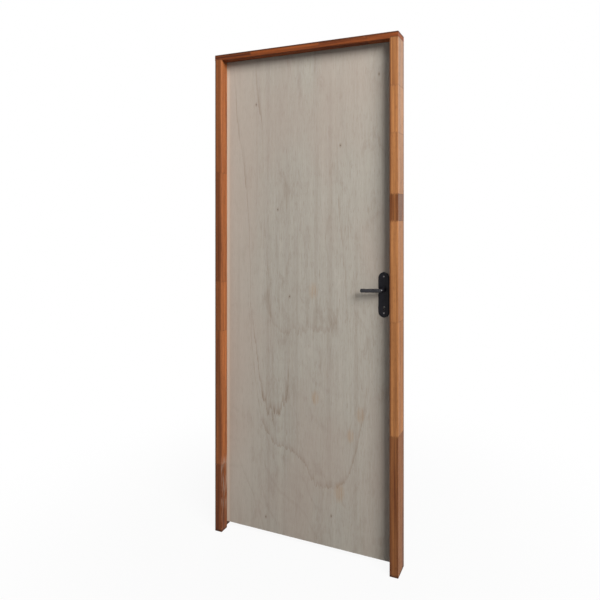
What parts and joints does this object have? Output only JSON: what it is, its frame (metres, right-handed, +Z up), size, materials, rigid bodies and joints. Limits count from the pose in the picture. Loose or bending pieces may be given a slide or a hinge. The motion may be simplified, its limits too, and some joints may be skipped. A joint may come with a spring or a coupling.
{
  "type": "prehung interior door",
  "caption": "Flush veneered interior door leaf hung on butt hinges in a rebated hardwood frame, with a lever handle on long plates. The leaf swings and the lever turns.",
  "frame": {"origin": "on the hinge jamb's wall face, at floor level and mid depth of the jamb", "axes": "+X from the hinge jamb to the lock jamb, +Y towards the side that the leaf opens to, +Z up"},
  "size_m": [0.859, 0.118, 2.1455],
  "materials": {
    "frame_wood": "oiled reddish-brown hardwood, finger jointed",
    "veneer": "raw sanded grey-beige veneer with cathedral grain",
    "edge_wood": "planed raw softwood",
    "core_board": "pressed board infill",
    "hinge_steel": "satin steel",
    "lock_steel": "satin steel",
    "black_metal": "black semi-gloss coating"
  },
  "bodies": {
    "frame": {"hinge_jamb": "frame_wood", "lock_jamb": "frame_wood", "head": "frame_wood", "strike_plate": "lock_steel", "frame_hinge_top": "hinge_steel", "frame_hinge_middle": "hinge_steel", "frame_hinge_bottom": "hinge_steel", "hinge_pin_top": "hinge_steel", "hinge_pin_middle": "hinge_steel", "hinge_pin_bottom": "hinge_steel"},
    "leaf": {"front_skin": "veneer", "back_skin": "veneer", "hinge_stile": "edge_wood", "lock_stile": "edge_wood", "top_rail": "edge_wood", "bottom_rail": "edge_wood", "core": "core_board", "lock_block": "edge_wood", "leaf_hinge_top": "hinge_steel", "leaf_hinge_middle": "hinge_steel", "leaf_hinge_bottom": "hinge_steel", "lock_case": "lock_steel", "lock_forend": "lock_steel", "latch_bolt": "lock_steel", "dead_bolt": "lock_steel", "front_plate": "black_metal", "back_plate": "black_metal"},
    "lever": {"front_lever": "black_metal", "back_lever": "black_metal", "spindle": "lock_steel"}
  },
  "joints": [
    {"name": "leaf_swing", "type": "hinge", "parent": "frame", "child": "leaf", "pos_m": [0.02675, 0.046, 1.07], "axis": [0, 0, 1], "range_deg": [0, 170]},
    {"name": "lever_turn", "type": "hinge", "parent": "leaf", "child": "lever", "pos_m": [0.7865, 0.0225, 1.121], "axis": [0, -1, 0], "range_deg": [0, 40], "stiffness_Nm_per_rad": 0.8, "springref_deg": -42.97}
  ]
}
